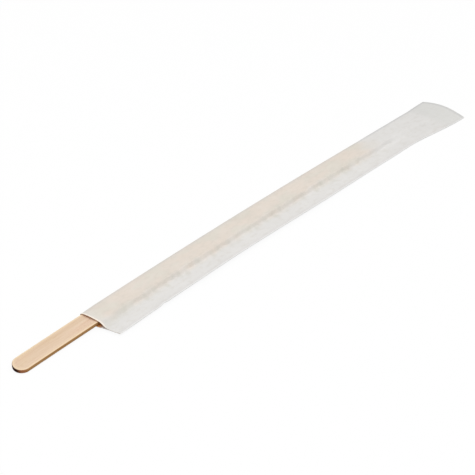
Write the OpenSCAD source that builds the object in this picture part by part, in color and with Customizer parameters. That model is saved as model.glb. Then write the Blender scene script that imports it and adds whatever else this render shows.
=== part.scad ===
// Flat wooden drink stirrer in an opened paper sleeve, lying on a table.
// The shapes are worked out with x = 0 at the stirrer's free tip, y = 0 on its centreline and z = 0 on
// the table, and are then moved so that the origin is under the middle of the whole object.

/* [Stirrer] */
// Length, tip to tip
stick_l = 140; // [110:1:190]
// Width
stick_w = 5.5; // [5:0.5:10]
// Thickness
stick_t = 1; // [0.9:0.1:2]
// Rise of the middle above the two tips, from the bend in the wood
stick_bow = 1; // [0.6:0.1:2]
// Radius of the eased edges
stick_edge = 0.2; // [0.1:0.05:0.35]
// How far the free tip's outline stands out past a half circle where it is bluntest
tip_blunt = 0.65; // [0:0.05:0.9]
// How far to one side of the tip it is bluntest, as an angle round the half circle's centre
tip_turn = 28; // [0:1:45]

/* [Sleeve] */
// Length of stirrer that shows out of the sleeve's mouth
show_l = 26.2; // [15:0.1:60]
// Length of empty sleeve between the stirrer's end and the pressed end
empty_l = 23.9; // [18:0.1:60]
// Width of empty sleeve beside the stirrer
spare_w = 6.2; // [5:0.1:15]
// Thickness of the paper
paper_t = 0.08; // [0.06:0.01:0.12]
// Room between the stirrer's long edge and the sleeve's fold
side_gap = 0.25; // [0.1:0.01:0.5]
// Room between the stirrer and the paper above and below it
slip = 0.1; // [0.06:0.01:0.3]
// Air between the plies where the sleeve lies flat
ply_gap = 0.08; // [0.05:0.01:0.3]
// Radius of the bend in the paper along a fold
fold_r = 0.4; // [0.25:0.05:0.6]
// Width of the slope from the stirrer's top down to the flat paper
slope_w = 1.1; // [0.8:0.1:2.5]

/* [Back seam] */
// Width of the glued lap
lap_w = 3; // [2:0.1:4]
// Width in which the inner ply steps up onto the lap
lap_step = 0.8; // [0.4:0.1:1]

/* [Mouth] */
// How much further back the cut lies at the far fold than over the stirrer
mouth_slant = 0.8; // [0:0.1:3]
// How much further the lower ply's cut reaches than the upper ply's where it reaches furthest
mouth_reach = 0.65; // [0:0.05:2]
// Where it reaches furthest, as a share of the width from the stirrer's fold
reach_at = 0.42; // [0.2:0.01:0.8]
// Spread of that reach, as a share of the width
reach_spread = 0.21; // [0.1:0.01:0.4]
// Extra width of the mouth
mouth_w = 0.45; // [0:0.05:1]
// Length in which that extra width runs out
mouth_taper_l = 30; // [15:1:60]
// Extra width of the slope beside the stirrer at the mouth
mouth_spread = 1.6; // [0:0.1:2]
// Length in which that slope draws in behind the mouth
mouth_l = 5; // [3:0.5:10]
// Height of the lip above the stirrer
lip_h = 0.25; // [0:0.05:1]
// Length in which the lip comes down onto the stirrer
lip_l = 4; // [2:0.5:10]

/* [Puckers] */
// How far the slope's foot wanders from a straight line
pucker_w = 0.3; // [0:0.05:0.4]
// Length of one wave of that line
pucker_pitch = 10.5; // [8:0.5:25]

/* [Pressed end] */
// Length pressed and glued flat
seal_l = 8; // [4:0.5:15]
// Extra width of the pressed end on the far fold's side
flare_w = 2.1; // [0:0.05:4]
// Extra width of the pressed end on the stirrer's side
near_flare_w = 0.6; // [0:0.05:2]
// Length of the widening
flare_l = 24; // [8:0.5:30]
// Height of the arch in the end edge
arch_h = 1.2; // [0.1:0.1:2]
// Length in which the arch rises
arch_l = 20; // [10:0.5:25]
// Extra width of the slope where the paper comes down behind the stirrer's end
relax_w = 3; // [0:0.5:4]

/* [Hidden] */

// The stirrer lies on the table with its free tip and on the sleeve's lower ply with the other.
seat_h = paper_t + slip;
bow_r = (stick_l * stick_l / 4 + stick_bow * stick_bow) / (2 * stick_bow);

// Along the sleeve
mouth_x = show_l;
sealed_x = stick_l + empty_l;
end_x = sealed_x + seal_l;
drape_x = stick_l + slip;
drape_l = sealed_x - drape_x;

// Across the sleeve: the fold beside the stirrer, the crest of the slope, the far fold and the lap
fold_y = stick_w / 2 + side_gap + paper_t;
crest_y = -stick_w / 2 - slip;
far_fold_y = -stick_w / 2 - spare_w;
lap_y = -stick_w / 2 - spare_w / 2;

// Heights over the underside of the sleeve: lying flat with its lap, and over the stirrer
flat_h = 3 * paper_t + ply_gap;
full_h = 2 * seat_h + stick_t;

// The middle of the whole object
mid_x = end_x / 2;
mid_y = (fold_y + near_flare_w + far_fold_y - max(flare_w, mouth_w)) / 2;

// Ring spacing near the mouth and the pressed end, and in between
fine_step = 1.3;
body_step = 2.4;
mouth_rings = 9;
mouth_zone = mouth_rings * fine_step;
body_rings = ceil((sealed_x - mouth_x - mouth_zone) / body_step);
seal_rings = ceil(seal_l / fine_step);
// Points across each face of the sleeve
last_j = 13;
// Sideways size of a cut edge's step, and the length used to measure a slope
step_w = 0.02;
probe = 0.01;
steepest = 3;

function clamp(v) = max(0, min(1, v));
function smooth(v) = let (c = clamp(v)) c * c * (3 - 2 * c);
function mix(a, b, f) = a + (b - a) * f;

// Underside of the bent stirrer at x
function stick_z(x) = let (d = x - stick_l / 2)
    seat_h * x / stick_l + sqrt(bow_r * bow_r - d * d) - bow_r + stick_bow;

// Underside of the sleeve at x: it follows the stirrer and lies on the table past its end
function under_z(x) = x < stick_l ? stick_z(x) - seat_h : 0;

// The two folds at x: both move out at the pressed end, and the far one also at the mouth
function flare(x) = smooth((x - end_x + flare_l) / flare_l);
function near_y(x) = fold_y + near_flare_w * flare(x);
function far_y(x) = far_fold_y - flare_w * flare(x) - mouth_w * (1 - smooth((x - mouth_x) / mouth_taper_l));

// Share of the sleeve's width at y, counted from the fold beside the stirrer
function across(x, y) = clamp((near_y(x) - y) / (near_y(x) - far_y(x)));

// Arch that lifts both plies at the pressed end, highest in the middle
function arch(x, y) = arch_h * smooth((x - end_x + arch_l) / arch_l) * sin(180 * across(x, y));

// The mouth's cut is square over the stirrer and curves back to the far fold, the lower ply reaches
// further, and the rings behind it straighten up
function near_mouth(x) = 1 - smooth((x - mouth_x) / mouth_zone);
function reach(x, y) = mouth_reach * exp(-pow((across(x, y) - reach_at) / reach_spread, 2));
function lean_x(x, y) = x + mouth_slant * pow(across(x, y), 3) * near_mouth(x);
function reach_x(x, y) = lean_x(x, y) - reach(x, y) * near_mouth(x);

// Share of the way from the stirrer's end to the pressed end
function past(x) = pow(clamp((x - drape_x) / drape_l), 2);

// Foot of the slope beside the stirrer: spread at the mouth and past the stirrer's end, and wavy along
// the puckers
function foot_y(x) = let (s = x - mouth_x, turn = 360 * s / pucker_pitch)
    crest_y - slope_w - mouth_spread * exp(-s / mouth_l) - relax_w * past(x)
    + pucker_w * (0.6 * sin(turn) + 0.4 * sin(1.62 * turn + 50));

// Rounding where a face runs into a fold: 0 away from the fold and 1 at it
function fold_turn(d) = let (q = 1 - clamp(d / fold_r)) 1 - sqrt(max(0, 1 - q * q));
function fold_drop(x, y) = max(fold_turn(near_y(x) - y), fold_turn(y - far_y(x)));

// Height of the upper ply over the sleeve's underside
function slope_share(x, y) = 0.5 + 0.5 * cos(180 * clamp((crest_y - y) / (crest_y - foot_y(x))));
function lip(x, y) = lip_h * exp(-(x - mouth_x) / lip_l)
    * sin(180 * clamp((fold_y - y) / (fold_y - crest_y)));
function tent(x, y) = (full_h - flat_h) * slope_share(x, y) + lip(x, y);
function cover_h(x, y) = flat_h + tent(x, y) * (1 - past(x));

function top_z(x, y) = let (h = cover_h(x, y))
    under_z(x) + arch(x, y) + h - min(fold_r, 0.35 * h) * fold_drop(x, y);
function rise(x, y) = (top_z(x, y + probe) - top_z(x, y - probe)) / (2 * probe);
function ply(x, y) = paper_t * sqrt(1 + pow(min(steepest, abs(rise(x, y))), 2));

// The lower ply: its outer face steps at the lap's cut edge, its inner face on the other side of the lap
function lap_out(y) = let (d = y - lap_y - lap_w / 2) d > 0 ? paper_t * (1 - smooth(d / lap_step)) : 0;
function lap_in(y) = y < lap_y - lap_w / 2 + step_w / 2 ? 0
    : paper_t * (1 - smooth((y - lap_y - lap_w / 2) / lap_step));
function low_z(x, y) = under_z(x) + arch(x, y) + min(fold_r / 4, 0.3 * flat_h) * fold_drop(x, y);

// Places across the sleeve of the points of one ring
function fold_in(j) = j == 0 ? 0 : j == 1 ? paper_t + 0.06 : fold_r;
function low_y(x, j) =
    j < 3 ? near_y(x) - fold_in(j)
    : j == 3 ? stick_w / 5
    : j == 4 ? -stick_w / 5
    : j == 5 ? lap_y + lap_w / 2 + lap_step
    : j == 6 ? lap_y + lap_w / 2 + step_w
    : j == 7 ? lap_y + lap_w / 2
    : j == 8 ? lap_y
    : j == 9 ? lap_y - lap_w / 2 + step_w
    : j == 10 ? lap_y - lap_w / 2
    : far_y(x) + fold_in(last_j - j);
function body_y(x, j) =
    j < 3 ? near_y(x) - fold_in(j)
    : j == 3 ? stick_w / 8
    : j < 10 ? mix(crest_y, foot_y(x), (j - 4) / 5)
    : j == 10 ? mix(foot_y(x), far_y(x), 0.5)
    : far_y(x) + fold_in(last_j - j);
function even_y(x, j) = j < 2 || j > last_j - 2 ? body_y(x, j) : mix(near_y(x), far_y(x), j / last_j);
function high_y(x, j) = mix(body_y(x, j), even_y(x, j), past(x));

// Points of the inner faces stay one ply inside both folds
function inside(x, y) = min(near_y(x) - paper_t, max(far_y(x) + paper_t, y));

// One closed ring: the lower ply from fold to far fold, then the upper ply back again
function outer_ring(x) = concat(
    [for (j = [0 : last_j]) let (y = low_y(x, j)) [reach_x(x, y), y, low_z(x, y) + lap_out(y)]],
    [for (j = [last_j : -1 : 0]) let (y = high_y(x, j)) [lean_x(x, y), y, top_z(x, y)]]);
function inner_ring(x) = concat(
    [for (j = [0 : last_j]) let (y = inside(x, low_y(x, j)))
        [reach_x(x, y), y, low_z(x, y) + paper_t + lap_in(y)]],
    [for (j = [last_j : -1 : 0]) let (y = inside(x, high_y(x, j)))
        [lean_x(x, y), y, top_z(x, y) - ply(x, y)]]);

// Ring places: close together at the mouth and the pressed end
ring_x = concat(
    [for (i = [0 : mouth_rings - 1]) mouth_x + fine_step * i],
    [for (i = [0 : body_rings - 1]) mix(mouth_x + mouth_zone, sealed_x, i / body_rings)],
    [for (i = [0 : seal_rings]) mix(sealed_x, end_x, i / seal_rings)]);
last_ring = len(ring_x) - 1;
pocket_ring = last_ring - seal_rings;
ring_n = 2 * (last_j + 1);

// Point numbers: k counts round the ring, and its two halves meet at the folds
function outer_at(i, k) = i * ring_n + k % ring_n;
function inner_at(i, k) = (last_ring + 1) * ring_n + i * ring_n + k % ring_n;
// Two triangles, or one where the four corners meet at a tip
function quad(a, b, c, d) = [if (b != c) [a, b, c], if (a != d) [a, c, d]];

// The stirrer's outline: along one long side from the free tip to the other, each station the centre
// of the round or straight stretch that it is on and its angle round that centre
end_r = stick_w / 2;
// The free tip is blunter than a half circle on the side away from the sleeve's fold
blunt_spread = 46;
function blunt(a) = tip_blunt * exp(-pow((a - 180 - tip_turn) / blunt_spread, 2));
tip_x = max([for (a = [90 : 10 : 270]) -(end_r + blunt(a)) * cos(a)]);
side_steps = 20;
side_stations = concat(
    [for (a = [180 : -10 : 100]) [tip_x, a]],
    [for (i = [0 : side_steps]) [mix(tip_x, stick_l - end_r, i / side_steps), 90]],
    [for (a = [80 : -10 : 0]) [stick_l - end_r, a]]);
last_station = len(side_stations) - 1;
loop_n = 2 * last_station;

// The stirrer's edge from its underside to its top: how far each line of it lies in, and its height
edge_lines = concat(
    [for (a = [0 : 30 : 90]) [stick_edge * (1 - sin(a)), stick_edge * (1 - cos(a))]],
    [for (a = [0 : 30 : 90]) [stick_edge * (1 - cos(a)), stick_t - stick_edge * (1 - sin(a))]]);
last_line = len(edge_lines) - 1;

function stirrer_point(station, side, line) = let (
    a = side > 0 ? station[1] : 360 - station[1],
    half_w = end_r - line[0],
    r = half_w + (station[0] > tip_x ? 0 : blunt(a)),
    x = station[0] + r * cos(a))
    [x, max(-half_w, min(half_w, r * sin(a))), stick_z(x) + line[1]];
function loop_at(k, i) = k * loop_n + i % loop_n;
function across_from(i) = (loop_n - i) % loop_n;

stirrer_points = [for (line = edge_lines) each concat(
    [for (i = [0 : last_station]) stirrer_point(side_stations[i], 1, line)],
    [for (i = [last_station - 1 : -1 : 1]) stirrer_point(side_stations[i], -1, line)])];

stirrer_faces = concat(
    [for (k = [0 : last_line - 1], i = [0 : loop_n - 1])
        each quad(loop_at(k, i), loop_at(k, i + 1), loop_at(k + 1, i + 1), loop_at(k + 1, i))],
    [for (i = [0 : last_station - 1])
        each quad(loop_at(0, across_from(i)), loop_at(0, across_from(i + 1)),
            loop_at(0, i + 1), loop_at(0, i))],
    [for (i = [0 : last_station - 1])
        each quad(loop_at(last_line, i), loop_at(last_line, i + 1),
            loop_at(last_line, across_from(i + 1)), loop_at(last_line, across_from(i)))]);

wrapper_points = concat(
    [for (x = ring_x) each outer_ring(x)],
    [for (i = [0 : pocket_ring]) each inner_ring(ring_x[i])]);

wrapper_faces = concat(
    [for (i = [0 : last_ring - 1], k = [0 : ring_n - 1])
        each quad(outer_at(i, k), outer_at(i, k + 1), outer_at(i + 1, k + 1), outer_at(i + 1, k))],
    [for (i = [0 : pocket_ring - 1], k = [0 : ring_n - 1])
        each quad(inner_at(i, k), inner_at(i + 1, k), inner_at(i + 1, k + 1), inner_at(i, k + 1))],
    [for (k = [0 : ring_n - 1])
        each quad(outer_at(0, k), inner_at(0, k), inner_at(0, k + 1), outer_at(0, k + 1))],
    [for (j = [0 : last_j - 1])
        each quad(inner_at(pocket_ring, j), inner_at(pocket_ring, ring_n - 1 - j),
            inner_at(pocket_ring, ring_n - 2 - j), inner_at(pocket_ring, j + 1))],
    [for (j = [0 : last_j - 1])
        each quad(outer_at(last_ring, j), outer_at(last_ring, j + 1),
            outer_at(last_ring, ring_n - 2 - j), outer_at(last_ring, ring_n - 1 - j))]);

module stirrer() {
    color([0.90, 0.80, 0.69])
        translate([-mid_x, -mid_y, 0])
            polyhedron(points = stirrer_points, faces = stirrer_faces, convexity = 4);
}

module wrapper() {
    color([0.89, 0.88, 0.86])
        translate([-mid_x, -mid_y, 0])
            polyhedron(points = wrapper_points, faces = wrapper_faces, convexity = 6);
}

stirrer();
wrapper();
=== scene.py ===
"""A birch drink stirrer part way out of its opened paper sleeve, lying on a pale table.

The shapes are worked out in millimetres from the stirrer's free tip: x runs along the stirrer, y across
it towards the fold that it lies against, and z up from the table. One function moves them into the frame.
"""
import functools

import bmesh
import bpy
import numpy as np
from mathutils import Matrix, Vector


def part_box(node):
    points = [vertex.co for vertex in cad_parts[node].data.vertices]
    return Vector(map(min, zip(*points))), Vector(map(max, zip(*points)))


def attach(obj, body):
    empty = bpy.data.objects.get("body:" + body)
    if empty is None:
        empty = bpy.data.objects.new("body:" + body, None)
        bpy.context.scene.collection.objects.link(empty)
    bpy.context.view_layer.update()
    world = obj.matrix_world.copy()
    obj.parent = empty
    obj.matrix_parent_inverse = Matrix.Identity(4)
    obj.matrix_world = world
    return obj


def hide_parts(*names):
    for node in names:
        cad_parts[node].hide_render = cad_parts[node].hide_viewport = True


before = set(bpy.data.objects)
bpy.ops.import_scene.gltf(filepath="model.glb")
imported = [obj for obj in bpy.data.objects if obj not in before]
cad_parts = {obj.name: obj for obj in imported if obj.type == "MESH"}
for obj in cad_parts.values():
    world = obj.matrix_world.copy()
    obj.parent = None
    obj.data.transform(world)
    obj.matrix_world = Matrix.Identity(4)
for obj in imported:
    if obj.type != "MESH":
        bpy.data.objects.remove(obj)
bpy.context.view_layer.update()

MM = 0.001
stick_low, stick_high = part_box("stirrer")
sleeve_low, sleeve_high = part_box("wrapper")
TIP = Vector((stick_low.x, (stick_low.y + stick_high.y) / 2, 0))

# Stirrer, in millimetres: its size, the rise of its middle, the radius of its eased edges, and the share
# of the painted highlight that the faces get just inside them
STICK_L = (stick_high.x - stick_low.x) / MM
STICK_W = (stick_high.y - stick_low.y) / MM
STICK_T = 1.0
STICK_BOW = 1.0
STICK_EDGE = 0.2
HIGHLIGHT_BESIDE = 0.35

# Its blunt free tip: how far it stands out past a half circle, at which angle, and over how many degrees
TIP_BLUNT = 0.65
TIP_TURN = 208
BLUNT_SPREAD = 46

# Its mesh: stations round each end and along it, and points of the profile's arcs and of its two faces
TURN_STATIONS = 37
RUN_STATIONS = 160
ARC_POINTS = 7
FACE_POINTS = 7

# Sleeve, in millimetres: where it starts, is pressed and ends, how far its folds reach there, its flat
# width beside the stirrer, its paper, the air round the stirrer and between the plies, its folds' radius,
# the slope down from the stirrer, how much wider that gets past it, and the glued lap at the back with
# the step and the lean of its cut edge
MOUTH_X = 26.2
SEALED_X = 163.9
END_X = (sleeve_high.x - TIP.x) / MM
NEAR_END_Y = (sleeve_high.y - TIP.y) / MM
FAR_END_Y = (sleeve_low.y - TIP.y) / MM
SPARE_W = 6.2
PAPER_T = 0.08
SLIP = 0.1
PLY_GAP = 0.08
FOLD_R = 0.4
SLOPE_W = 1.1
RELAX_W = 3.0
LAP_W = 3.0
LAP_STEP = 0.8
LAP_EDGE_W = 0.02

# The sleeve's mouth in plan: its slanting cut, the lower ply's reach past it and the upper one's, its
# widening, the spread of the slope's foot, and the stretch in which the rings straighten up
MOUTH_SLANT = 0.8
MOUTH_REACH = 0.65
REACH_AT = 0.42
REACH_SPREAD = 0.21
FORWARD = 0.25
FORWARD_SPREAD = 0.75
MOUTH_W = 0.45
MOUTH_TAPER_L = 30.0
MOUTH_SPREAD = 1.6
MOUTH_L = 5.0
MOUTH_ZONE = 11.7

# The mouth's heights: the lip lifted over the stirrer, the curl of its edge, the dip at the fold beside
# the stirrer, and the stretch where the plies touch beside the slope
LIP_H = 0.25
LIP_L = 4.0
CURL_H = 0.06
CURL_L = 0.35
SHOULDER_H = 0.16
SHOULDER_W = 0.7
SHOULDER_L = 3.0
CLOSED_L = 4.0
CLOSED_W = 1.6

# The pressed end: its widening at the near fold, the arch of both plies, and how gently it starts
NEAR_FLARE_W = 0.6
FLARE_L = 24.0
ARCH_H = 1.2
ARCH_L = 20.0
PRESS_L = 3.0

# The far fold's slight waviness and its dent
WAVE_H = 0.15
WAVE_L = 68.0
WAVE_X = 56.0
WAVE_START_L = 8.0
DENT_H = 0.3
DENT_W = 0.9
DENT_X = 43.5

# Small relief of the upper ply: heights of its kinds, the pressed ribs' pitch, how deep it may go before
# the plies would meet, and the width in which it fades out at the folds
PUCKER_H = 0.062
SLANT_H = 0.028
SOFT_H = 0.016
RIB_H = 0.014
RIB_PITCH = 1.4
DEEPEST = 0.05
RELIEF_EDGE_W = 1.2

# The mesh of the sleeve: steps across the upper ply over the stirrer, down the slope and over the flat
OVER_STEPS = 20
SLOPE_STEPS = 14
FLAT_STEPS = 16

# Widths of the pale rim along the mouth, partly painted light, of the painted light line along the far
# fold and of the painted warm bounce light on the inner face, and the length over which painted shade
# grows past the stirrer
RIM_W = 0.42
GLOW_W = 0.28
BOUNCE_W = 1.6
FAR_SHADE_L = 20.0

# Worked out from those
SEAT_H = PAPER_T + SLIP
BOW_R = (STICK_L ** 2 / 4 + STICK_BOW ** 2) / (2 * STICK_BOW)
CREST_Y = -STICK_W / 2 - SLIP
FOLD_Y = NEAR_END_Y - NEAR_FLARE_W
FAR_FOLD_Y = -STICK_W / 2 - SPARE_W
FLARE_W = FAR_FOLD_Y - FAR_END_Y
LAP_Y = -STICK_W / 2 - SPARE_W / 2
FLAT_H = 3 * PAPER_T + PLY_GAP
CLOSED_H = 2.1 * PAPER_T
FULL_H = 2 * SEAT_H + STICK_T
DRAPE_X = STICK_L + SLIP
FAR_SHADE_X = STICK_L - FAR_SHADE_L / 2


def ramp(v):
    """0 below 0, 1 above 1, and in between 3v^2 - 2v^3, which leaves and arrives level."""
    v = np.clip(v, 0, 1)
    return v * v * (3 - 2 * v)


def bell(v):
    """exp(-v^2): 1 at v = 0 and almost nothing past v = 2."""
    return np.exp(-v * v)


def sine(s, pitch, phase=0):
    """A sine wave along s, of that pitch in millimetres, moved on by phase in radians."""
    return np.sin(2 * np.pi * s / pitch + phase)


def waves(x, y, seed, count, shortest, longest):
    """A sum of sine waves of like height over (x, y), each with its own direction, length and phase."""
    rng = np.random.default_rng(seed)
    turns = rng.uniform(0, np.pi, count)
    lengths = rng.uniform(shortest, longest, count)
    phases = rng.uniform(0, 2 * np.pi, count)
    total = 0
    for turn, length, phase in zip(turns, lengths, phases):
        total = total + sine(x * np.cos(turn) + y * np.sin(turn), length, phase)
    return total / np.sqrt(count)


def strongest(*shades):
    """The largest of several arrays at each point."""
    return functools.reduce(np.maximum, shades)


def stick_under(x):
    """Height of the stirrer's underside: a circle's arc over its length, tilted up by its seat in the
    sleeve."""
    d = x - STICK_L / 2
    return SEAT_H * x / STICK_L + np.sqrt(BOW_R ** 2 - d * d) - BOW_R + STICK_BOW


def sleeve_under(x):
    """Height of the sleeve's underside: it follows the stirrer, and is on the table past its end."""
    return np.where(x < STICK_L, stick_under(np.minimum(x, STICK_L)) - SEAT_H, 0)


def near_y(x):
    """Place of the fold beside the stirrer: straight, moved out by a ramp at the pressed end."""
    return FOLD_Y + NEAR_FLARE_W * ramp((x - END_X + FLARE_L) / FLARE_L)


def far_y(x):
    """Place of the far fold: slightly wavy, moved out by ramps at the mouth and at the pressed end, and
    pushed in by a narrow bell where it is dented."""
    mouth = MOUTH_W * (1 - ramp((x - MOUTH_X) / MOUTH_TAPER_L))
    end = FLARE_W * ramp((x - END_X + FLARE_L) / FLARE_L)
    wavy = ramp((x - WAVE_X) / WAVE_START_L) * ramp((END_X - x) / FLARE_L)
    wave = WAVE_H * sine(x - WAVE_X, WAVE_L) * wavy
    return FAR_FOLD_Y - end - mouth + wave + DENT_H * bell((x - DENT_X) / DENT_W)


def across(x, y):
    """Share of the sleeve's width at y, from 0 at the fold beside the stirrer to 1 at the far fold."""
    return np.clip((near_y(x) - y) / (near_y(x) - far_y(x)), 0, 1)


def arch(x, y):
    """Rise of both plies at the pressed end: a ramp along x times half a sine across."""
    return ARCH_H * ramp((x - END_X + ARCH_L) / ARCH_L) * np.sin(np.pi * across(x, y))


def near_mouth(x):
    """1 at the mouth, and 0 past the stretch in which the rings straighten up."""
    return 1 - ramp((x - MOUTH_X) / MOUTH_ZONE)


def past_stirrer(x):
    """0 up to the stirrer's end, and growing with the square of the distance to 1 at the pressed end."""
    return np.clip((x - DRAPE_X) / (SEALED_X - DRAPE_X), 0, 1) ** 2


def in_press(x):
    """0 in the open sleeve and 1 in the pressed end, by a ramp centred on where that starts."""
    return ramp((x - SEALED_X + PRESS_L / 2) / PRESS_L)


def foot_y(x):
    """Foot of the slope beside the stirrer: it spreads at the mouth, by a falling exponential, and past
    the stirrer's end, and wanders with two sines in between."""
    s = x - MOUTH_X
    wander = 0.18 * sine(s, 10.5) + 0.12 * sine(s, 6.5, 0.9)
    return CREST_Y - SLOPE_W - MOUTH_SPREAD * np.exp(-s / MOUTH_L) - RELAX_W * past_stirrer(x) + wander


def fold_turn(d):
    """Quarter circle of the fold's radius: 1 on the fold, and 0 one radius away from it."""
    q = 1 - np.clip(d / FOLD_R, 0, 1)
    return 1 - np.sqrt(np.maximum(0, 1 - q * q))


def fold_drop(x, y):
    """The quarter circles of both folds together."""
    return np.maximum(fold_turn(near_y(x) - y), fold_turn(y - far_y(x)))


def closed_mouth(x, y):
    """1 where the plies touch at the mouth, beside the slope, and 0 elsewhere."""
    return (1 - ramp((x - MOUTH_X) / CLOSED_L)) * ramp((foot_y(x) + CLOSED_W / 2 - y) / CLOSED_W)


def cover_h(x, y):
    """Height of the upper ply over the underside: flat beside the stirrer, lower where the mouth is
    closed, and up a half cosine to the stirrer's top. The mouth adds a lip that dies away along x, a
    short curl of its edge, and a bell-shaped dip at the fold beside the stirrer."""
    foot = foot_y(x)
    share = 0.5 + 0.5 * np.cos(np.pi * np.clip((CREST_Y - y) / (CREST_Y - foot), 0, 1))
    over = np.sin(np.pi * np.clip((FOLD_Y - y) / (FOLD_Y - CREST_Y), 0, 1))
    lip = LIP_H * np.exp(-(x - MOUTH_X) / LIP_L) * over
    curl = CURL_H * np.exp(-(x - MOUTH_X) / CURL_L) * share
    flat = FLAT_H - (FLAT_H - CLOSED_H) * closed_mouth(x, y)
    shoulder = SHOULDER_H * bell((near_y(x) - y) / SHOULDER_W) * bell((x - MOUTH_X) / SHOULDER_L)
    return flat + ((FULL_H - FLAT_H) * share + lip) * (1 - past_stirrer(x)) + curl - shoulder


def wrinkles(x, y):
    """Small relief of the upper ply, a sum of sines whose phases sway with slower ones: puckers on the
    slope, slanting wrinkles over two stretches of the stirrer, and long soft waves everywhere, all from
    the mouth to the pressed end, and there ribs that run along its edge. It fades out at the folds."""
    at_slope = bell((y - (CREST_Y + foot_y(x)) / 2) / SLOPE_W)
    strength = 0.55 + 0.45 * sine(x, 31, 1.0)
    pucker = sine(x, 4.3, 1.6 * sine(x, 19) + 0.5 * y)
    pucker = pucker + 0.6 * sine(x, 2.7, 2.0 * sine(x, 13) - 0.8 * y)
    slant = sine(x + 1.1 * y, 7.5, 1.2 * sine(x, 23))
    over_stick = bell((y + 0.3) / 3.2) * (bell((x - 58) / 26) + 0.5 * bell((x - 105) / 24))
    soft = waves(x, y, seed=5, count=9, shortest=6, longest=17)
    relief = PUCKER_H * strength * at_slope * pucker + SLANT_H * over_stick * slant + SOFT_H * soft
    open_part = ramp((x - MOUTH_X) / 3) * (1 - ramp((x - SEALED_X + 2) / 3))
    ribs = RIB_H * in_press(x) * sine(END_X - x, RIB_PITCH)
    inner = ramp((near_y(x) - y) / RELIEF_EDGE_W) * ramp((y - far_y(x)) / RELIEF_EDGE_W)
    return np.maximum(relief * open_part + ribs, -DEEPEST) * inner


def top_z(x, y):
    """Height of the upper ply's outer face. Its folds drop by their radius, or by 0.35 of the ply's
    height where that is less."""
    h = cover_h(x, y)
    drop = np.minimum(FOLD_R, 0.35 * h) * fold_drop(x, y)
    return sleeve_under(x) + arch(x, y) + h - drop + wrinkles(x, y)


def low_z(x, y):
    """Height of the lower ply's outer face, which steps up by one ply where the lap's cut edge ends, and
    turns up a little at the folds."""
    d = y - LAP_Y - LAP_W / 2
    step = np.where(d > 0, PAPER_T * (1 - ramp(d / LAP_STEP)), 0)
    turn = min(FOLD_R / 4, 0.3 * FLAT_H) * fold_drop(x, y)
    return sleeve_under(x) + arch(x, y) + turn + step


def inner_top_z(x, y):
    """Height of the upper ply's inner face: one ply inside the outer one, measured square to a slope of
    up to 3 in 1, and at least 0.3 of a ply over the lower ply's inner face."""
    apart = 0.01
    top = top_z(x, y)
    slope = np.minimum(3, np.abs(top_z(x, y - apart) - top) / apart)
    return np.maximum(top - PAPER_T * np.sqrt(1 + slope ** 2), low_z(x, y) + 1.3 * PAPER_T)


def to_frame(points):
    """Moves an array of points from millimetres round the stirrer's tip to metres in the frame."""
    return points * MM + np.array(TIP)


def mesh_piece(name, points, faces, values):
    """One closed mesh object from arrays of points and faces, with a float attribute for each of values."""
    mesh = bpy.data.meshes.new(name)
    mesh.from_pydata(to_frame(points), [], faces)
    for key, numbers in values.items():
        layer = mesh.attributes.new(key, "FLOAT", "POINT")
        layer.data.foreach_set("value", np.ascontiguousarray(numbers, np.float32).ravel())
    piece = bpy.data.objects.new(name, mesh)
    bpy.context.scene.collection.objects.link(piece)
    return piece


def finish_mesh(piece):
    """Merges the points that meet on seams and poles, and shades the surface smooth."""
    work = bmesh.new()
    work.from_mesh(piece.data)
    bmesh.ops.remove_doubles(work, verts=work.verts, dist=1e-7)
    bmesh.ops.recalc_face_normals(work, faces=work.faces)
    work.to_mesh(piece.data)
    work.free()
    piece.data.polygons.foreach_set("use_smooth", np.ones(len(piece.data.polygons), bool))
    return piece


def strip_faces(first, second):
    """Quads between two rows of point numbers, each going along the first row and back on the second."""
    corners = [first[..., :-1], first[..., 1:], second[..., 1:], second[..., :-1]]
    return np.stack(corners, -1).reshape(-1, 4)


def tip_swell(angle):
    """How far the free tip's outline stands out past a half circle: a bell of the angle in degrees."""
    return TIP_BLUNT * bell((angle - TIP_TURN) / BLUNT_SPREAD)


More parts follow.
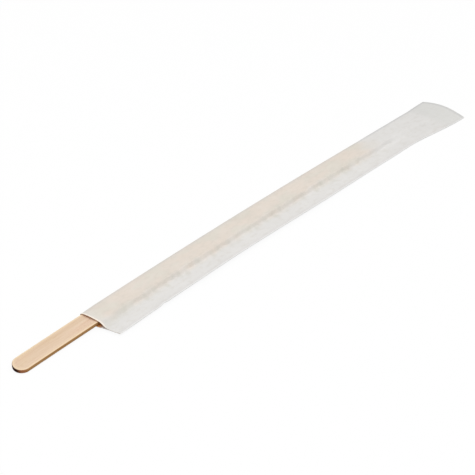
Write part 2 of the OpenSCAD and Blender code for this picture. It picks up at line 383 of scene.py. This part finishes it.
def stirrer_piece():
    """The stirrer: its edge profile carried round its outline.

    The outline is two half circles joined by straight lines, each station being a centre on the midline
    and an angle round it. At the free tip the distance from the centre swells by tip_swell, and is kept
    within the width. The profile goes from the middle of the top out to the edge, round a quarter
    circle, down, round another, and back to the middle of the underside. A profile point lies at its
    own distance from the station's centre, at its own height over the bent underside. Its attributes
    are how far the surface is the stamped edge and the end grain, whose browns the material makes partly
    of painted shade, and the share of the painted highlight along the eased arris.
    """
    end_r = STICK_W / 2
    end_x = STICK_L - end_r
    turn = np.linspace(90, 270, TURN_STATIONS)
    swell = tip_swell(turn)
    tip_x = np.max(-(end_r + swell) * np.cos(np.radians(turn)))
    run = np.linspace(tip_x, end_x, RUN_STATIONS)[1:-1]
    centre = np.concatenate([np.full(len(turn), tip_x), run, np.full(len(turn), end_x), run[::-1]])
    sides = [turn, np.full(len(run), 270), turn + 180, np.full(len(run), 90)]
    angle = np.radians(np.concatenate(sides))
    swell = np.concatenate([swell, np.zeros(len(angle) - len(turn))])

    arc = np.radians(np.linspace(0, 90, ARC_POINTS))
    face = np.zeros(FACE_POINTS)
    face_in = np.linspace(end_r, STICK_EDGE, FACE_POINTS + 1)[:-1]
    eased = STICK_EDGE * (1 - np.sin(arc))
    inset = np.concatenate([face_in, eased, [0, 0], eased[::-1], face_in[::-1]])
    eased_z = STICK_EDGE * (1 - np.cos(arc))
    wall = STICK_T * np.array([0.6, 0.4])
    height = np.concatenate([face + STICK_T, STICK_T - eased_z, wall, eased_z[::-1], face])
    cut = np.concatenate([face, np.sin(arc), [1, 1], np.sin(arc[::-1]), face])
    # the painted highlight: full on the arcs of the eased arris, and partly on the face just inside them
    beside = np.append(face[1:], HIGHLIGHT_BESIDE)
    highlight = np.concatenate([beside, np.cos(arc), [0, 0], np.cos(arc[::-1]), beside[::-1]])

    half_w = end_r - inset[None, :]
    radius = half_w * (1 + swell[:, None] / end_r)
    x = centre[:, None] + radius * np.cos(angle)[:, None]
    y = np.clip(radius * np.sin(angle)[:, None], -half_w, half_w)
    z = stick_under(x) + height[None, :]
    points = np.stack([x, y, z], -1).reshape(-1, 3)
    values = {
        "cut_edge": np.broadcast_to(cut[None, :], x.shape),
        "end_grain_and_shade": np.broadcast_to(np.abs(np.cos(angle))[:, None], x.shape),
        "arris_highlight": np.broadcast_to(highlight[None, :], x.shape)}

    at = np.arange(x.size).reshape(x.shape)
    faces = strip_faces(at, np.roll(at, -1, 0))
    return finish_mesh(mesh_piece("stirrer_wood", points, faces, values))


def ring_places():
    """Places of the sleeve's rings along x: 0.12 mm apart at the mouth and the end edge, 0.32 mm in the
    10 mm behind the mouth, 0.27 mm in the pressed end, and 0.59 mm between."""
    fine, coarse = MOUTH_X + 2, MOUTH_X + 12
    edge = END_X - 0.6
    return np.concatenate([
        np.arange(MOUTH_X, fine, 0.12),
        np.arange(fine, coarse, 0.32),
        np.linspace(coarse, SEALED_X, 215)[:-1],
        np.linspace(SEALED_X, edge, 28)[:-1],
        np.linspace(edge, END_X, 6)])


def fold_steps():
    """Distances from a fold, out to its radius, spaced as equal angles of its quarter circle."""
    return FOLD_R * (1 - np.cos(np.radians(np.linspace(0, 90, 7))))


def spread(start, end, count):
    """As many places as count on each ring, at equal steps from start towards end, which is left out."""
    return start + (end - start) * np.linspace(0, 1, count + 1)[None, :-1]


def top_places(x):
    """Places across the upper ply on each ring: the two folds, over the stirrer, the slope and the flat."""
    near = near_y(x) - fold_steps()[None, :]
    over = spread(near_y(x) - FOLD_R, CREST_Y, OVER_STEPS)[:, 1:]
    slope = spread(CREST_Y, foot_y(x), SLOPE_STEPS)
    flat = spread(foot_y(x), far_y(x) + FOLD_R, FLAT_STEPS)
    return np.concatenate([near, over, slope, flat, far_y(x) + fold_steps()[None, ::-1]], 1)


def low_places(x, count):
    """Places across the lower ply on each ring: the two folds, and the cut edge of the lap between them."""
    near = near_y(x) - fold_steps()[None, :]
    cut = LAP_Y + LAP_W / 2
    left = count - 2 * near.shape[1]
    first = spread(cut + LAP_EDGE_W, near_y(x) - FOLD_R, left // 2)[:, ::-1]
    second = spread(cut, far_y(x) + FOLD_R, left - left // 2)
    return np.concatenate([near, first, second, far_y(x) + fold_steps()[None, ::-1]], 1)


def sleeve_ring(x, low_y, top_y, low, top):
    """Points of whole rings, the lower ply from fold to far fold and the upper one back again.

    The mouth's cut is square over the stirrer and curves back to the far fold with the cube of the
    width's share. The lower ply reaches out past it by a bell of that share. The upper ply's edge is
    drawn forward over the stirrer by another bell. All fade out along the first rings.
    """
    near = near_mouth(x)
    low_part, top_part = across(x, low_y), across(x, top_y)
    reach = MOUTH_REACH * bell((low_part - REACH_AT) / REACH_SPREAD)
    low_x = x + (MOUTH_SLANT * low_part ** 3 - reach) * near
    top_x = x + (MOUTH_SLANT * top_part ** 3 - FORWARD * bell(top_part / FORWARD_SPREAD)) * near
    px = np.concatenate([low_x, top_x[:, ::-1]], 1)
    py = np.concatenate([low_y, top_y[:, ::-1]], 1)
    pz = np.concatenate([low, top[:, ::-1]], 1)
    return np.stack([px, py, pz], -1)


def sleeve_faces(rings, pocket, count):
    """Faces of the sleeve from its numbers of outer rings, of inner rings and of points across one ply:
    the outer face, the inner face, the mouth's cut edge between their first rings, and a strip that
    closes each face's last ring."""
    size = 2 * count
    loop = np.append(np.arange(size), 0)
    out_at = np.arange(rings)[:, None] * size + loop
    in_at = rings * size + np.arange(pocket)[:, None] * size + loop
    half = np.arange(count)
    back = size - 1 - half
    return np.concatenate([
        strip_faces(out_at[:-1], out_at[1:])[:, ::-1],
        strip_faces(in_at[:-1], in_at[1:]),
        strip_faces(out_at[0], in_at[0]),
        strip_faces(in_at[-1][half], in_at[-1][back]),
        strip_faces(out_at[-1][back], out_at[-1][half])])


def wood_below(x, y):
    """Show-through of the stirrer under a ply: 1 over it and 0 away from it, a soft step of uneven width
    past its long edges, times a longer one round its inner end, where the paper comes off the wood."""
    outside = np.abs(y) - STICK_W / 2
    uneven = 0.3 * waves(x, y, seed=21, count=7, shortest=3, longest=9)
    ragged = 1.2 * waves(x, y, seed=33, count=5, shortest=4, longest=9)
    end = x - STICK_L + 5 + 0.25 * y * y + ragged
    return (1 - ramp((outside + 0.4 + uneven) / 2.8)) * (1 - ramp(end / 10))


def pucker_shade(x, y):
    """Painted shade of the puckers beside the stirrer, in grey patches: narrow bars across the slope, at
    uneven places along it, each of its own reach, out of two waves along x whose phases wander with y.
    They start past the mouth and end at the stirrer's end."""
    along = sine(x + 0.45 * y, 5.3, 2.2 * sine(x, 23))
    along = along + 0.8 * sine(x - 0.3 * y, 3.1, 1.7 * sine(x, 14, 1))
    middle = CREST_Y - 1.1 + 0.5 * sine(x, 8.7, 0.6)
    stretch = ramp((x - MOUTH_X - 2) / 4) * ramp((STICK_L - 2 - x) / 6)
    return ramp(0.5 * along + 0.15) * bell((y - middle) / 1.2) * stretch


def outer_shades(x, outer, count):
    """The attributes of the sleeve's outer face that its material reads, each from 0 to 1.

    x is each ring's place, and the points of outer are moved from there by the mouth's cut. Each shade
    is made of ramps and bells of the distance from the line that it follows.
    """
    px, py = outer[..., 0], outer[..., 1]
    on_top = np.zeros((1, 2 * count))
    on_top[:, count:] = 1

    # less of the wood shows through where the mouth's lip is lifted off it
    lip = 1 - 0.5 * bell((px - MOUTH_X + 1) / 2.5)
    wood = wood_below(px, py) * np.where(on_top > 0, lip, 1)

    # grey over air, and painted shade: the puckers, and the valley at the foot of the slope just behind
    # the mouth
    valley = bell(py - foot_y(px) - 0.4) * bell((px - MOUTH_X - 3) / 9)
    air = np.maximum(pucker_shade(px, py), 0.8 * valley) * on_top

    # the pale rim of the upper ply over the stirrer, and the mouth's cut edge itself: partly the cut
    # fibres' own paleness and partly painted light
    lifted = (cover_h(x, py) - FLAT_H) / (FULL_H - FLAT_H)
    rim = ramp(1.5 - (x - MOUTH_X) / RIM_W) * ramp(lifted * 3) * on_top
    cut = np.maximum(rim, ramp(1 - (x - MOUTH_X) / 0.1))

    # painted shade: grey lines inside the fold beside the stirrer, the end edge and the far fold, and a
    # little grey everywhere past the stirrer
    far_shade = ramp((x - FAR_SHADE_X) / FAR_SHADE_L)
    near_line = bell((near_y(x) - py - 0.45) / 0.5) * (0.25 + 0.35 * far_shade)
    end_line = bell((END_X - x - 0.5) / 0.5) * 0.5
    far_line = bell((py - far_y(x) - 0.6) / 0.4) * 0.12
    crease_shade = strongest(near_line, end_line, far_line, 0.08 * far_shade) * on_top

    # painted light along the far fold, and on the slope just past the stirrer's end
    fold_light = 0.75 * ramp(1 - (py - far_y(x)) / GLOW_W)
    slope_light = 0.2 * bell((py - CREST_Y + 1.2) / 1.3) * bell((x - STICK_L - 6) / 6) * on_top
    glow = np.maximum(fold_light, slope_light)

    return {"wood_below": wood, "air_below_and_shade": air, "pressed": in_press(x) + 0 * py, "cut_edge": cut,
            "crease_shade": crease_shade, "fold_glow": glow, "inner_face": 0 * px}


def sleeve_piece():
    """The sleeve: closed rings of the outer face joined to rings of the inner face one ply inside.

    Each ring is the flattened tube's section at its x, out of top_z and low_z. The two faces meet in the
    mouth's cut edge. The inner one ends where the pressed end starts, and the outer one at the end edge.
    The inner face's attributes are 0, apart from its own and, in wood_below, painted warm bounce light
    near the stirrer.
    """
    x = ring_places()[:, None]
    top_y = top_places(x)
    count = top_y.shape[1]
    low_y = low_places(x, count)
    outer = sleeve_ring(x, low_y, top_y, low_z(x, low_y), top_z(x, top_y))

    pocket = int(np.searchsorted(x[:, 0], SEALED_X - 1e-6)) + 1
    in_x = x[:pocket]
    inside = (far_y(in_x) + PAPER_T, near_y(in_x) - PAPER_T)
    in_low_y = np.clip(low_y[:pocket], *inside)
    in_top_y = np.clip(top_y[:pocket], *inside)
    in_low = low_z(in_x, in_low_y) + PAPER_T
    inner = sleeve_ring(in_x, in_low_y, in_top_y, in_low, inner_top_z(in_x, in_top_y))

    points = np.concatenate([outer.reshape(-1, 3), inner.reshape(-1, 3)])
    faces = sleeve_faces(len(x), pocket, count)
    none = np.zeros(inner.shape[:2])
    # on the inner face, wood_below carries painted warm bounce light near the stirrer
    own = {"wood_below": ramp(1 - (CREST_Y - inner[..., 1]) / BOUNCE_W), "inner_face": none + 1}
    shades = outer_shades(x, outer, count)
    values = {name: np.append(shade, own.get(name, none)) for name, shade in shades.items()}
    return finish_mesh(mesh_piece("paper_sleeve", points, faces, values))


def hex_colour(text):
    """A linear colour from an sRGB hex value, by the sRGB curve."""
    c = np.array([int(text[i:i + 2], 16) for i in (1, 3, 5)]) / 255
    linear = np.where(c <= 0.04045, c / 12.92, ((c + 0.055) / 1.055) ** 2.4)
    return (*linear.tolist(), 1.0)


def set_inputs(tree, node, inputs):
    """Gives node its inputs, each a plain value, an sRGB hex colour, or another node's output to link."""
    for key, value in inputs.items():
        if isinstance(value, bpy.types.NodeSocket):
            tree.links.new(value, node.inputs[key])
        else:
            node.inputs[key].default_value = hex_colour(value) if isinstance(value, str) else value


def add_node(tree, kind, inputs, **settings):
    """Adds a node of that kind to tree, with its settings and inputs."""
    node = tree.nodes.new(kind)
    for key, value in settings.items():
        setattr(node, key, value)
    set_inputs(tree, node, inputs)
    return node


def new_material(name, attributes=()):
    """A material with a Principled shader, and what it reads of its piece's own attributes:
    (material, tree, shader, the attributes' outputs by name)."""
    material = bpy.data.materials.new(name)
    material.use_nodes = True
    tree = material.node_tree
    read = {}
    for key in attributes:
        read[key] = add_node(tree, "ShaderNodeAttribute", {}, attribute_name=key).outputs["Fac"]
    return material, tree, tree.nodes["Principled BSDF"], read


def spots(tree, size, detail, offset=(0, 0, 0)):
    """A pattern of soft spots, size = (x, y, z) millimetres large: a noise on Object coordinates, divided
    by that size and moved by offset."""
    coords = add_node(tree, "ShaderNodeTexCoord", {}).outputs["Object"]
    scale = tuple(1 / (s * MM) for s in size)
    place = add_node(tree, "ShaderNodeMapping", {"Vector": coords, "Scale": scale, "Location": offset})
    inputs = {"Vector": place.outputs[0], "Scale": 1.0, "Detail": detail}
    return add_node(tree, "ShaderNodeTexNoise", inputs).outputs["Fac"]


# Places of the Mix node's colour sockets, whose names its other sockets have too
MIX_FIRST = 6
MIX_SECOND = 7
MIX_RESULT = 2


def layered(tree, colour, *layers):
    """A colour with layers laid over it in turn, each (pattern, low, high, most, its own colour).

    A layer covers nothing where its pattern is at low, and the share most of what is under it where its
    pattern is at high.
    """
    for pattern, low, high, most, over in layers:
        limits = {"Value": pattern, "From Min": low, "From Max": high, "To Min": 0, "To Max": most}
        share = add_node(tree, "ShaderNodeMapRange", limits).outputs["Result"]
        inputs = {"Factor": share, MIX_FIRST: colour, MIX_SECOND: over}
        colour = add_node(tree, "ShaderNodeMix", inputs, data_type="RGBA").outputs[MIX_RESULT]
    return colour


def dull_fibres(tree, fibre, smooth, rough, strength, height):
    """Roughness from smooth to rough over a pattern of fibres, and the normal of their relief in
    millimetres: the two inputs that wood and paper share."""
    limits = {"Value": fibre, "From Min": 0.3, "From Max": 0.7, "To Min": smooth, "To Max": rough}
    relief = {"Height": fibre, "Strength": strength, "Distance": height * MM}
    return {"Roughness": add_node(tree, "ShaderNodeMapRange", limits).outputs["Result"],
            "Normal": add_node(tree, "ShaderNodeBump", relief).outputs["Normal"]}


def birch_veneer():
    """Rotary-cut birch veneer, stamped and tumbled, with no varnish: pale cream with faint long grain,
    short darker flecks and a dull satin surface. The arris is paler by a painted highlight. The stamped
    edges are browner and the end grain darkest, partly in the wood's own colour and partly as painted
    shade."""
    material, tree, shader, read = new_material("birch_veneer", ("cut_edge", "end_grain_and_shade", "arris_highlight"))
    # the knife runs along the growth rings, so they show as long faint bands and patches
    band = spots(tree, (48, 1.7, 4), 1.0, (3, 0, 0))
    pink = spots(tree, (7, 3.2, 5), 1.0, (0, 7, 0))
    straw = spots(tree, (9, 4, 5), 1.0, (5, 0, 2))
    # fibres are about 0.03 mm wide; they are drawn 0.3 mm wide so that they show
    fibre = spots(tree, (11, 0.3, 0.3), 3.0)
    fleck = spots(tree, (1.8, 0.14, 0.3), 1.0, (0, 0, 9))
    face = layered(
        tree, "#E9D0B6",
        (band, 0.35, 0.65, 1, "#E1C6A9"),
        (pink, 0.5, 0.72, 0.55, "#E7C6AE"),
        (straw, 0.52, 0.75, 0.5, "#E6CFA5"),
        (fibre, 0.42, 0.66, 0.3, "#D2AF8B"),
        (fleck, 0.66, 0.78, 0.4, "#B98F68"),
        # a painted highlight along the eased arris
        (read["arris_highlight"], 0, 1, 0.8, "#F7DFBC"))
    # the stamped edge has streaks 0.18 mm thick, and darkens round to the end grain; its brown and the
    # near-black at the end grain are partly the wood's own colour and partly painted shade
    streak = spots(tree, (16, 0.4, 0.18), 2.0, (1, 4, 0))
    side = layered(
        tree, "#C59764",
        (streak, 0.35, 0.65, 1, "#B38553"),
        (read["end_grain_and_shade"], 0.35, 0.75, 1, "#B9784F"),
        (read["end_grain_and_shade"], 0.82, 0.97, 1, "#300B03"))
    # cut fibres scatter light, so the edge has less shine than the face
    shine = {"Value": read["cut_edge"], "To Min": 0.5, "To Max": 0.05}
    set_inputs(tree, shader, {
        "Base Color": layered(tree, face, (read["cut_edge"], 0.35, 0.9, 1, side)),
        "IOR": 1.5,
        "Specular IOR Level": add_node(tree, "ShaderNodeMapRange", shine).outputs["Result"],
        **dull_fibres(tree, fibre, 0.5, 0.66, 0.25, 0.03)})
    return material


def bleached_wrapping_paper():
    """Bleached machine-glazed wrapping paper of about 40 g a square metre: thin enough that what lies
    under it shows. It is beige over wood, greyer over air, lighter where it lies on another ply. Painted
    shade greys its puckers, its crumple, the valley by the slope, its creases and its far part; painted
    light brightens the far fold, the slope past the stirrer and the mouth's rim; and the inner face near
    the stirrer is painted with warm bounce light."""
    material, tree, shader, read = new_material("bleached_wrapping_paper", (
        "wood_below", "air_below_and_shade", "pressed", "cut_edge", "crease_shade", "fold_glow", "inner_face"))
    # the cloudiness of thin paper held to light, 3 to 6 mm across
    cloud = spots(tree, (4.5, 3, 3), 3.0)
    tint = spots(tree, (6, 3.4, 4), 2.0, (2, 6, 0))
    # painted shade of the fine crumple of a thin sheet drawn over wood, about a millimetre across
    crumple = spots(tree, (1.7, 1.0, 1.0), 1.0, (0, 3, 8))
    # fibres are about 0.02 mm wide; they are drawn 0.25 mm wide so that they show close to
    fibre = spots(tree, (0.7, 0.25, 0.25), 2.0, (4, 0, 4))
    over_wood = layered(
        tree, "#E6DDD3",
        (cloud, 0.3, 0.7, 1, "#DFD6CB"),
        (tint, 0.47, 0.62, 0.6, "#E7DBCF"),
        (tint, 0.5, 0.38, 0.5, "#E0DCD0"))
    # painted bounce light: inside, the paper near the stirrer is painted orange for the light that comes
    # off the wood
    inner = layered(tree, "#EDE4DD", (read["wood_below"], 0, 1, 1, "#E5A25C"))
    tone = layered(
        tree, "#E6E4E1",
        (cloud, 0.35, 0.65, 1, "#E3E1DE"),
        (read["wood_below"], 0, 1, 1, over_wood),
        # painted shade of the crumple
        (crumple, 0.5, 0.75, 0.24, "#CFC9BE"),
        # grey over air, and the painted shade of the puckers and the valley
        (read["air_below_and_shade"], 0, 1, 0.5, "#D2CFC5"),
        # the pressed end's grey, partly the pressed paper's own and partly painted shade of the far end
        (read["pressed"], 0, 1, 0.5, "#DCDCD8"),
        # painted shade in the creases and past the stirrer
        (read["crease_shade"], 0, 1, 1, "#C4C4C4"),
        # painted light along the far fold and on the slope past the stirrer
        (read["fold_glow"], 0, 1, 1, "#FAF9F8"),
        # the rim and the cut edge, paler partly in their own colour and partly as painted light
        (read["cut_edge"], 0, 1, 1, "#FFF4E6"),
        (read["inner_face"], 0, 1, 1, inner))
    set_inputs(tree, shader, {
        "Base Color": tone,
        "IOR": 1.5,
        "Specular IOR Level": 0.3,
        **dull_fibres(tree, fibre, 0.72, 0.86, 0.2, 0.01)})
    return material


def seen_directly(tree):
    """1 for a ray from the camera, a reflection or a clear material, and 0 for light that bounces: the
    largest of the three."""
    path = add_node(tree, "ShaderNodeLightPath", {}).outputs
    seen = path["Is Camera Ray"]
    for other in ("Is Glossy Ray", "Is Transmission Ray"):
        seen = add_node(tree, "ShaderNodeMath", {0: seen, 1: path[other]}, operation="MAXIMUM").outputs[0]
    return seen


# The table: half its side, its depth under the object, and the share of its white, as it is seen, that is
# the same in light and shadow
TABLE_HALF = 3.0
TABLE_GAP = 0.02 * MM
TABLE_GLOW = 0.93


def matt_white_card():
    """Matt coated card, white as it is seen and greyer in its bounce. Most of its white glows by itself,
    so that the object's shadow on it stays pale, and it has no shine."""
    material, tree, shader = new_material("matt_white_card")[:3]
    seen = seen_directly(tree)
    colour = layered(tree, "#B4B4B4", (seen, 0, 1, 1, "#FFFFFF"), (seen, 0, 1, TABLE_GLOW, "#000000"))
    glow = add_node(tree, "ShaderNodeMath", {0: seen, 1: TABLE_GLOW}, operation="MULTIPLY")
    set_inputs(tree, shader, {
        "Base Color": colour,
        "Emission Color": "#FFFFFF",
        "Emission Strength": glow.outputs[0],
        "Roughness": 1.0,
        "Specular IOR Level": 0.0})
    return material


def table_top():
    """The pale table: one wide flat sheet just under the object."""
    far = TABLE_HALF
    z = -TABLE_GAP
    mesh = bpy.data.meshes.new("table_top")
    mesh.from_pydata([(-far, -far, z), (far, -far, z), (far, far, z), (-far, far, z)], [], [(0, 1, 2, 3)])
    mesh.materials.append(matt_white_card())
    table = bpy.data.objects.new("table_top", mesh)
    bpy.context.scene.collection.objects.link(table)


# The camera: where it looks on the table, from which side and how high, how far off, and its lens
LOOKS_AT = (-6.154 * MM, 1.337 * MM, 0)
CAMERA_AZIMUTH = -50.33
CAMERA_ELEVATION = 31.89
CAMERA_DISTANCE = 526.45 * MM
FOCAL_PIXELS = 2013.8
IMAGE_W = 475
SENSOR_W = 36


def direction(azimuth, elevation):
    """Unit vector towards a place seen at that azimuth, from -Y towards +X, and height, in degrees."""
    a, e = np.radians(azimuth), np.radians(elevation)
    return Vector((np.sin(a) * np.cos(e), -np.cos(a) * np.cos(e), np.sin(e)))


def camera():
    """The photograph's viewing angle."""
    data = bpy.data.cameras.new("camera")
    data.sensor_width = SENSOR_W
    data.lens = FOCAL_PIXELS * SENSOR_W / IMAGE_W
    data.clip_start = 0.01
    data.clip_end = 20
    eye = bpy.data.objects.new("camera", data)
    back = direction(CAMERA_AZIMUTH, CAMERA_ELEVATION)
    eye.location = Vector(LOOKS_AT) + back * CAMERA_DISTANCE
    eye.rotation_euler = (-back).to_track_quat("-Z", "Y").to_euler()
    bpy.context.scene.collection.objects.link(eye)
    bpy.context.scene.camera = eye


# Light on a level surface adds up to 1 in the object's middle, so that a colour renders as it is
# written: the sky's share, that of a round softbox hung over the free tip, and the rest from a wide soft
# lamp on the right and a little behind
SKY_SHARE = 0.58
BOX_SHARE = 0.17
BOX_AT = (-0.10, -0.03, 0.40)
BOX_SIZE = 0.25
LAMP_AZIMUTH = 70
LAMP_ELEVATION = 50
LAMP_WIDTH = 35


def add_lamp(name, kind, place, energy):
    """A lamp of that kind at place, turned to shine on the middle of the object."""
    lamp = bpy.data.lights.new(name, kind)
    lamp.energy = energy
    holder = bpy.data.objects.new(name, lamp)
    holder.location = place
    holder.rotation_euler = place.to_track_quat("Z", "Y").to_euler()
    bpy.context.scene.collection.objects.link(holder)
    return lamp


def lights():
    """A soft white sky, which is pure white as it is seen, a softbox over the tip and one wide lamp."""
    world = bpy.data.worlds.new("studio")
    world.use_nodes = True
    tree = world.node_tree
    limits = {"Value": seen_directly(tree), "To Min": SKY_SHARE, "To Max": 1.0}
    strength = add_node(tree, "ShaderNodeMapRange", limits).outputs["Result"]
    set_inputs(tree, tree.nodes["Background"], {"Color": "#FFFFFF", "Strength": strength})
    bpy.context.scene.world = world
    hung = Vector(BOX_AT)
    level = hung.z / hung.length
    box = add_lamp("softbox", "AREA", hung, BOX_SHARE * np.pi ** 2 * hung.length ** 2 / level)
    box.shape = "DISK"
    box.size = BOX_SIZE
    towards = direction(LAMP_AZIMUTH, LAMP_ELEVATION)
    wide = add_lamp("soft_lamp", "SUN", towards, (1 - SKY_SHARE - BOX_SHARE) * np.pi / towards.z)
    wide.angle = np.radians(LAMP_WIDTH)


wood = stirrer_piece()
wood.data.materials.append(birch_veneer())
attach(wood, "root")
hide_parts("stirrer")

paper = sleeve_piece()
paper.data.materials.append(bleached_wrapping_paper())
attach(paper, "root")
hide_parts("wrapper")

table_top()
lights()
camera()
bpy.context.scene.view_settings.view_transform = "Standard"
